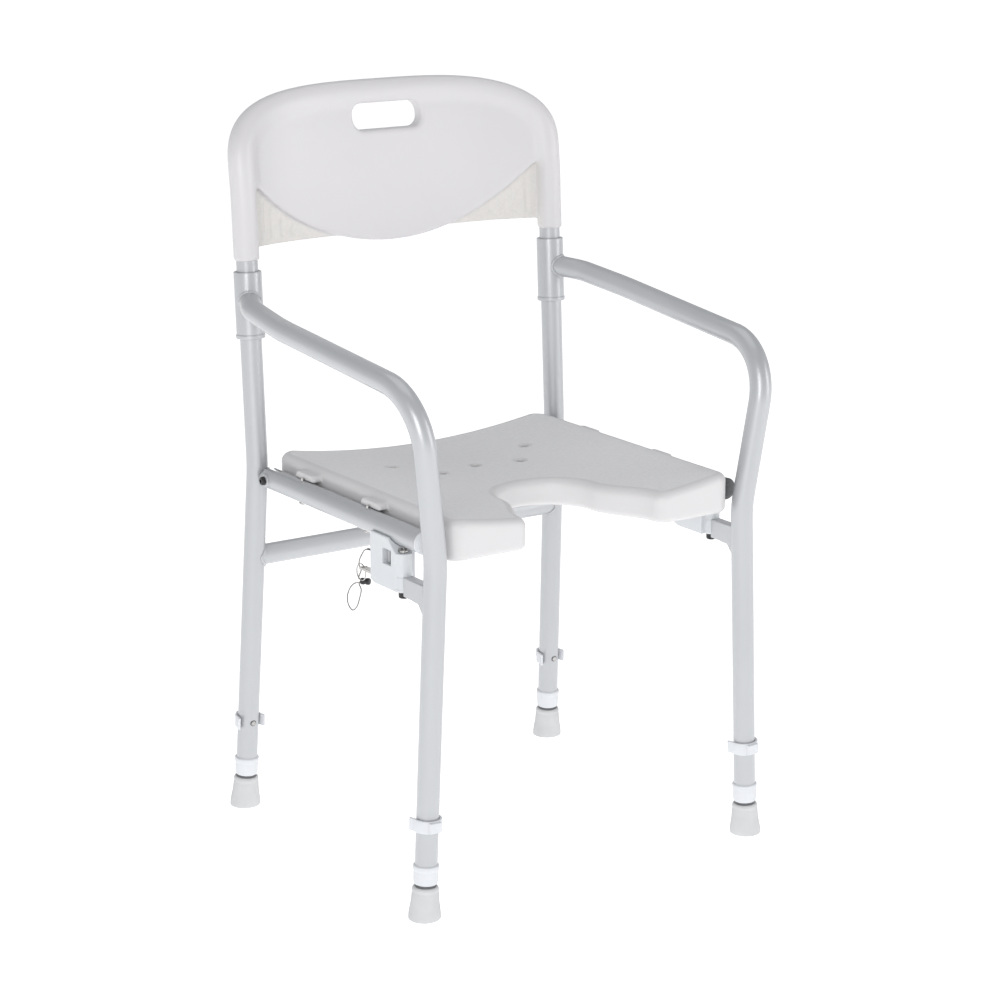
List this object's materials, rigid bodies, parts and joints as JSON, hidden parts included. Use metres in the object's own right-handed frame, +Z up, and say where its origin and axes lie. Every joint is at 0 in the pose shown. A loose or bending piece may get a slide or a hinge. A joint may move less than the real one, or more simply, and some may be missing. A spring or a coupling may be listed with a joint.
{
  "type": "folding shower chair",
  "caption": "Folding bath and shower chair: bent-tube frame with arms, curved backrest with hand slot, flip-up horseshoe seat and height-adjustable rubber-tipped legs.",
  "frame": {"origin": "centre of the footprint box, on the floor under the feet", "axes": "+Z up; the sitter faces -Y; -X is the side that carries the lock pin"},
  "size_m": [0.5032, 0.4833, 0.8658],
  "materials": {
    "aluminium_tube": "satin anodised or painted silver-grey tube",
    "white_plastic": "white blow-moulded polythene, fine grain on the seat top",
    "grey_plastic": "light grey moulded plastic",
    "grey_rubber": "light grey rubber",
    "dark_plastic": "dark grey ribbed plug",
    "black_plastic": "black cap, nut or crimp",
    "bright_steel": "zinc-plated or stainless steel",
    "steel_cable": "stranded steel wire"
  },
  "bodies": {
    "frame": {"rear_upright_left": "aluminium_tube", "rear_upright_right": "aluminium_tube", "rear_crossbar": "aluminium_tube", "backrest_panel": "white_plastic", "backrest_screw_left": "bright_steel", "backrest_screw_right": "bright_steel", "arm_collar_left": "aluminium_tube", "arm_collar_right": "aluminium_tube", "side_frame_left": "aluminium_tube", "side_frame_right": "aluminium_tube", "leg_lug_left": "aluminium_tube", "leg_lug_right": "aluminium_tube", "rail_saddle_left": "grey_plastic", "rail_saddle_right": "grey_plastic", "saddle_bolt_left": "bright_steel", "saddle_bolt_right": "bright_steel", "saddle_nut_left": "black_plastic", "saddle_nut_right": "black_plastic", "pivot_lug_left": "aluminium_tube", "pivot_lug_right": "aluminium_tube", "leg_bush_rear_left": "grey_plastic", "leg_bush_rear_right": "grey_plastic", "leg_bush_front_left": "grey_plastic", "leg_bush_front_right": "grey_plastic"},
    "seat": {"seat_panel": "white_plastic", "seat_rail_left": "aluminium_tube", "seat_rail_right": "aluminium_tube", "rail_plug_left": "dark_plastic", "rail_plug_right": "dark_plastic", "rail_keeper_left": "aluminium_tube", "pivot_bolt_left": "black_plastic", "pivot_bolt_right": "black_plastic", "seat_screw_left_rear": "bright_steel", "seat_screw_left_front": "bright_steel", "seat_screw_right_rear": "bright_steel", "seat_screw_right_front": "bright_steel"},
    "foot_rear_left": {"leg_extension_rear_left": "aluminium_tube", "foot_tip_rear_left": "grey_rubber"},
    "foot_rear_right": {"leg_extension_rear_right": "aluminium_tube", "foot_tip_rear_right": "grey_rubber"},
    "foot_front_left": {"leg_extension_front_left": "aluminium_tube", "foot_tip_front_left": "grey_rubber"},
    "foot_front_right": {"leg_extension_front_right": "aluminium_tube", "foot_tip_front_right": "grey_rubber"},
    "clip_rear_left": {"height_clip_rear_left": "grey_plastic"},
    "clip_rear_right": {"height_clip_rear_right": "grey_plastic"},
    "clip_front_left": {"height_clip_front_left": "grey_plastic"},
    "clip_front_right": {"height_clip_front_right": "grey_plastic"},
    "lock": {"lock_pin": "bright_steel", "pin_ring": "bright_steel", "lanyard_ferrule": "black_plastic", "lanyard_cable": "steel_cable", "lanyard_loop": "steel_cable"}
  },
  "joints": [
    {"name": "seat_fold", "type": "hinge", "parent": "frame", "child": "seat", "pos_m": [0, 0.1339, 0.4195], "axis": [-1, 0, 0], "range_deg": [0, 83]},
    {"name": "height_rear_left", "type": "slide", "parent": "frame", "child": "foot_rear_left", "axis": [-0.0274, 0.0691, -0.9972], "range_m": [0, 0.1]},
    {"name": "height_rear_right", "type": "slide", "parent": "frame", "child": "foot_rear_right", "axis": [0.0274, 0.0691, -0.9972], "range_m": [0, 0.1]},
    {"name": "height_front_left", "type": "slide", "parent": "frame", "child": "foot_front_left", "axis": [-0.0424, 0.0015, -0.9991], "range_m": [0, 0.1]},
    {"name": "height_front_right", "type": "slide", "parent": "frame", "child": "foot_front_right", "axis": [0.0424, 0.0015, -0.9991], "range_m": [0, 0.1]},
    {"name": "clip_rear_left_pull", "type": "slide", "parent": "frame", "child": "clip_rear_left", "axis": [0.0019, 0.9976, 0.0691], "range_m": [0, 0.03]},
    {"name": "clip_rear_right_pull", "type": "slide", "parent": "frame", "child": "clip_rear_right", "axis": [-0.0019, 0.9976, 0.0691], "range_m": [0, 0.03]},
    {"name": "clip_front_left_pull", "type": "slide", "parent": "frame", "child": "clip_front_left", "axis": [-0.0001, -1, -0.0015], "range_m": [0, 0.03]},
    {"name": "clip_front_right_pull", "type": "slide", "parent": "frame", "child": "clip_front_right", "axis": [0.0001, -1, -0.0015], "range_m": [0, 0.03]},
    {"name": "lock_pin_pull", "type": "slide", "parent": "frame", "child": "lock", "axis": [0, 1, 0], "range_m": [0, 0.04]}
  ]
}
